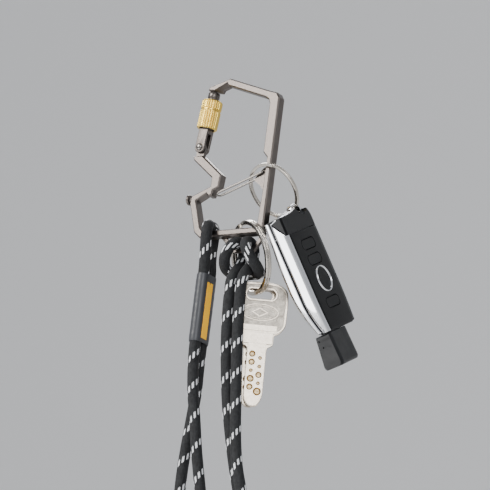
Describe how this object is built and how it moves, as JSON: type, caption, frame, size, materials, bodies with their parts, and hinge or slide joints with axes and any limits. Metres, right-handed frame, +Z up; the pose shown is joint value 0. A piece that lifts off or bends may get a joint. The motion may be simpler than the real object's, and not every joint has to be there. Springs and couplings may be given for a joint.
{
  "type": "carabiner keyring",
  "caption": "Hooked carabiner with a screw-lock gate and a wire gate, carrying split rings with house keys and a car key, and a rope lanyard looped over its bar.",
  "frame": {"origin": "middle of the strap seat, on the sloping underside of the top bar at mid thickness", "axes": "+Z up as it hangs, +X towards the spine, the plate's front face towards -Y"},
  "size_m": [0.0871, 0.0618, 0.2733],
  "materials": {
    "titanium": "satin",
    "steel": "polished",
    "nickel": "satin",
    "brass": "satin",
    "chrome": "mirror",
    "black_gloss": "gloss",
    "black_matte": "matte",
    "rubber": "matte",
    "circuit_green": "satin",
    "cord_black": "woven",
    "sleeve_grey": "satin",
    "stripe_yellow": "matte"
  },
  "bodies": {
    "carabiner": {"carabiner_frame": "titanium", "side_stud": "titanium", "gate_pivot_rivet": "steel", "lanyard_bight": "cord_black", "lanyard_sleeve": "sleeve_grey", "lanyard_stripe": "stripe_yellow", "lanyard_hitch": "cord_black", "lanyard_strand_inner": "cord_black", "lanyard_strand_outer": "cord_black"},
    "main_gate": {"gate_stem": "titanium", "gate_push_rod": "steel", "gate_spring": "steel"},
    "sleeve_carrier": {"sleeve_friction_ring": "rubber"},
    "sleeve": {"lock_sleeve": "brass"},
    "wire_gate": {"wire_gate": "steel"},
    "upper_ring": {"upper_split_ring": "steel"},
    "fob_key": {"fob_key_head": "black_gloss", "fob_key_blade": "steel"},
    "fob_body": {"fob_front_shell": "black_gloss", "fob_back_shell": "black_gloss", "fob_rail_near_front": "chrome", "fob_rail_near_back": "chrome", "fob_rail_far_front": "chrome", "fob_rail_far_back": "chrome", "fob_nose": "black_matte", "fob_emblem_ring": "chrome", "fob_circuit_board": "circuit_green", "fob_battery": "steel"},
    "fob_lock_button": {"fob_lock_button": "black_gloss"},
    "fob_unlock_button": {"fob_unlock_button": "black_gloss"},
    "fob_boot_button": {"fob_boot_button": "black_gloss"},
    "fob_latch": {"fob_latch_slider": "black_matte"},
    "lower_ring": {"lower_split_ring": "steel"},
    "key_front": {"house_key_front": "nickel"},
    "key_back": {"house_key_back": "nickel"}
  },
  "joints": [
    {"name": "gate_swing", "type": "hinge", "parent": "carabiner", "child": "main_gate", "pos_m": [-0.0253, 0, -0.0285], "axis": [0, 1, 0], "range_deg": [0, 26], "stiffness_Nm_per_rad": 0.02, "springref_deg": -28.65},
    {"name": "sleeve_travel", "type": "slide", "parent": "main_gate", "child": "sleeve_carrier", "axis": [0.1132, 0, 0.9936], "range_m": [0, 0.0036]},
    {"name": "sleeve_turn", "type": "hinge", "parent": "sleeve_carrier", "child": "sleeve", "pos_m": [-0.0253, 0, -0.0285], "axis": [0.1132, 0, 0.9936], "range_deg": [0, 865]},
    {"name": "wire_gate_swing", "type": "hinge", "parent": "carabiner", "child": "wire_gate", "pos_m": [0.0156, 0, -0.0452], "axis": [0, -1, 0], "range_deg": [0, 24], "stiffness_Nm_per_rad": 0.004, "springref_deg": -22.92},
    {"name": "upper_ring_turn", "type": "hinge", "parent": "carabiner", "child": "upper_ring", "pos_m": [0.0187, 0.0057, -0.0529], "axis": [-0.1418, -0.7295, -0.6691], "range_deg": [0, 12]},
    {"name": "fob_swing", "type": "hinge", "parent": "upper_ring", "child": "fob_key", "pos_m": [0.02748, 0.01261, -0.0623], "axis": [0.7863, -0.4937, 0.3716], "range_deg": [0, 18]},
    {"name": "key_release", "type": "slide", "parent": "fob_key", "child": "fob_body", "axis": [0.2705, 0.4909, -0.8282], "range_m": [0, 0.038]},
    {"name": "fob_lock_button_press", "type": "slide", "parent": "fob_body", "child": "fob_lock_button", "axis": [-0.9557, 0.0334, -0.2924], "range_m": [0, 0.0005], "stiffness_N_per_m": 400, "springref_m": -0.0005},
    {"name": "fob_unlock_button_press", "type": "slide", "parent": "fob_body", "child": "fob_unlock_button", "axis": [-0.9557, 0.0334, -0.2924], "range_m": [0, 0.0005], "stiffness_N_per_m": 400, "springref_m": -0.0005},
    {"name": "fob_boot_button_press", "type": "slide", "parent": "fob_body", "child": "fob_boot_button", "axis": [-0.9557, 0.0334, -0.2924], "range_m": [0, 0.0005], "stiffness_N_per_m": 400, "springref_m": -0.0005},
    {"name": "fob_latch_slide", "type": "slide", "parent": "fob_body", "child": "fob_latch", "axis": [-0.1159, 0.8706, 0.4782], "range_m": [0, 0.0022], "stiffness_N_per_m": 150, "springref_m": -0.0008},
    {"name": "lower_ring_turn", "type": "hinge", "parent": "carabiner", "child": "lower_ring", "pos_m": [0.0103, 0.0048, -0.0891], "axis": [-0.484, -0.8055, -0.342], "range_deg": [-4, 4]},
    {"name": "key_back_swing", "type": "hinge", "parent": "lower_ring", "child": "key_back", "pos_m": [0.00991, 0.01215, -0.10586], "axis": [0.8748, -0.4359, -0.2114], "range_deg": [0, 21]},
    {"name": "key_front_swing", "type": "hinge", "parent": "lower_ring", "child": "key_front", "pos_m": [0.01352, 0.01017, -0.1063], "axis": [0.8572, -0.515, 0], "range_deg": [0, 12]}
  ],
  "couplings": [
    {"joint": "sleeve_turn", "follows": "sleeve_travel", "rad_per_m": 4188.8},
    {"joint": "key_front_swing", "follows": "key_back_swing", "ratio": 0.55}
  ]
}
